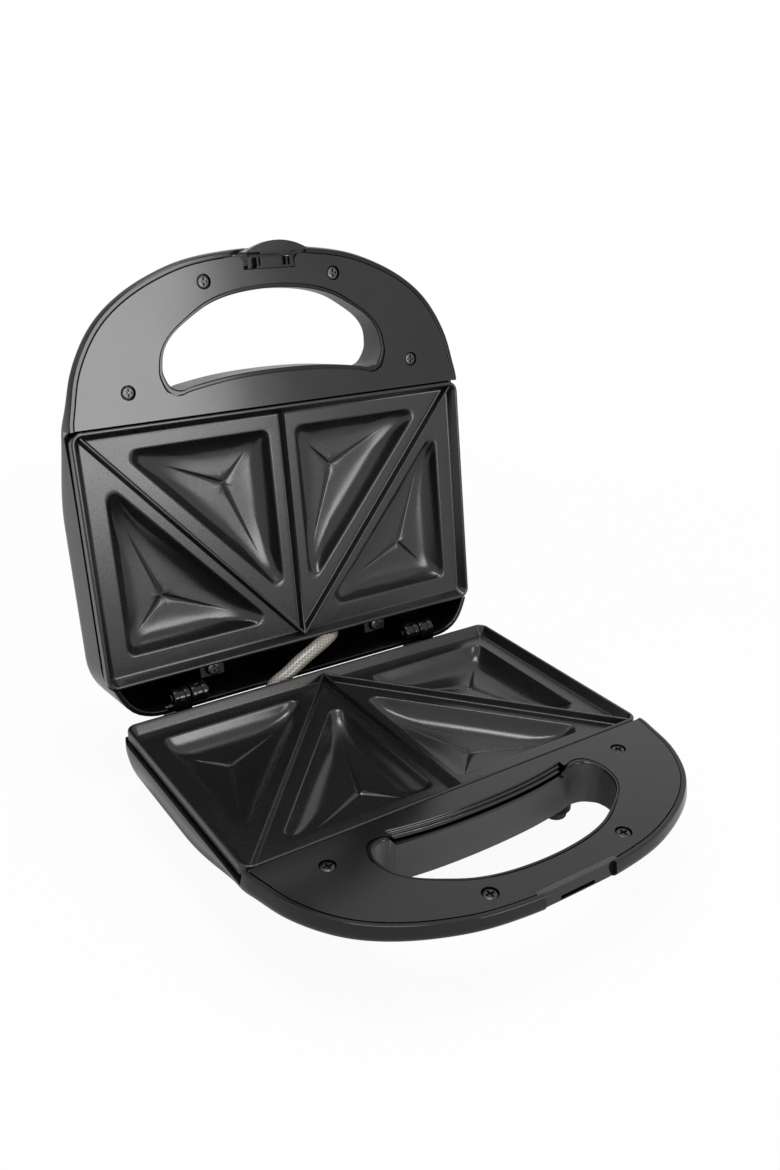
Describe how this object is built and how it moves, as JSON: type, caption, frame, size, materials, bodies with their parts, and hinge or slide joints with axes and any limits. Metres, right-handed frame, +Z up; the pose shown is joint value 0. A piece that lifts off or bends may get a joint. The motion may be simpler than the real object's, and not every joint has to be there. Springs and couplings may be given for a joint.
{
  "type": "sandwich maker",
  "caption": "Hinged electric sandwich maker with domed housings, non-stick plates with triangular pockets, D-shaped handles and a front latch, shown open.",
  "frame": {"origin": "bottom centre of the open part's box, at the level of the feet's undersides", "axes": "+X to the right of a user who faces the handle side, +Y from the handle to the hinge, +Z up; the handles are at the -Y side, and the open lid stands up at the +Y side"},
  "size_m": [0.2368, 0.2864, 0.2733],
  "materials": {
    "shell": "high gloss black heat-resistant moulding",
    "facing": "semi-gloss black moulding",
    "plate": "cast, with a dark satin non-stick coating",
    "steel": "bright drawn steel",
    "screw": "black finished steel screw",
    "rubber": "matt black rubber",
    "element": "heat-dulled steel sheath",
    "tray": "pressed bright sheet",
    "sleeve": "woven glass-fibre sleeve, beige grey",
    "ceramic": "off-white insulating body",
    "board": "green circuit board",
    "red": "clear red lens",
    "green": "clear green lens"
  },
  "bodies": {
    "lower": {"lower_housing": "shell", "lower_handle_cover": "facing", "lower_plate": "plate", "lower_heating_element": "element", "lower_heat_reflector": "tray", "lower_cover_screw_1": "screw", "lower_cover_screw_2": "screw", "lower_cover_screw_3": "screw", "lower_cover_screw_4": "screw", "lower_tab_screw_left": "screw", "lower_tab_screw_right": "screw", "foot_front_left": "rubber", "foot_front_right": "rubber", "foot_rear_left": "rubber", "foot_rear_right": "rubber", "cord_bush": "rubber", "hinge_pin_left": "steel", "hinge_pin_right": "steel", "terminal_block": "ceramic", "wiring_sleeve": "sleeve"},
    "lid": {"upper_housing": "shell", "upper_handle_cover": "facing", "upper_plate": "plate", "upper_heating_element": "element", "upper_heat_reflector": "tray", "upper_cover_screw_1": "screw", "upper_cover_screw_2": "screw", "upper_cover_screw_3": "screw", "upper_cover_screw_4": "screw", "upper_tab_screw_left": "screw", "upper_tab_screw_right": "screw", "latch_pin": "steel", "latch_spring": "steel", "thermostat": "ceramic", "thermal_fuse": "ceramic", "indicator_board": "board", "power_lamp_lens": "red", "ready_lamp_lens": "green"},
    "latch": {"latch": "shell"}
  },
  "joints": [
    {"name": "lid_hinge", "type": "hinge", "parent": "lower", "child": "lid", "pos_m": [0, 0.08313, 0.0456], "axis": [1, 0, 0], "range_deg": [0, 100.2], "deforming": ["wiring_sleeve"]},
    {"name": "latch_pivot", "type": "hinge", "parent": "lid", "child": "latch", "pos_m": [0, 0.12719, 0.25775], "axis": [-1, 0, 0], "range_deg": [0, 15], "stiffness_Nm_per_rad": 0.05, "springref_deg": -9.74}
  ]
}
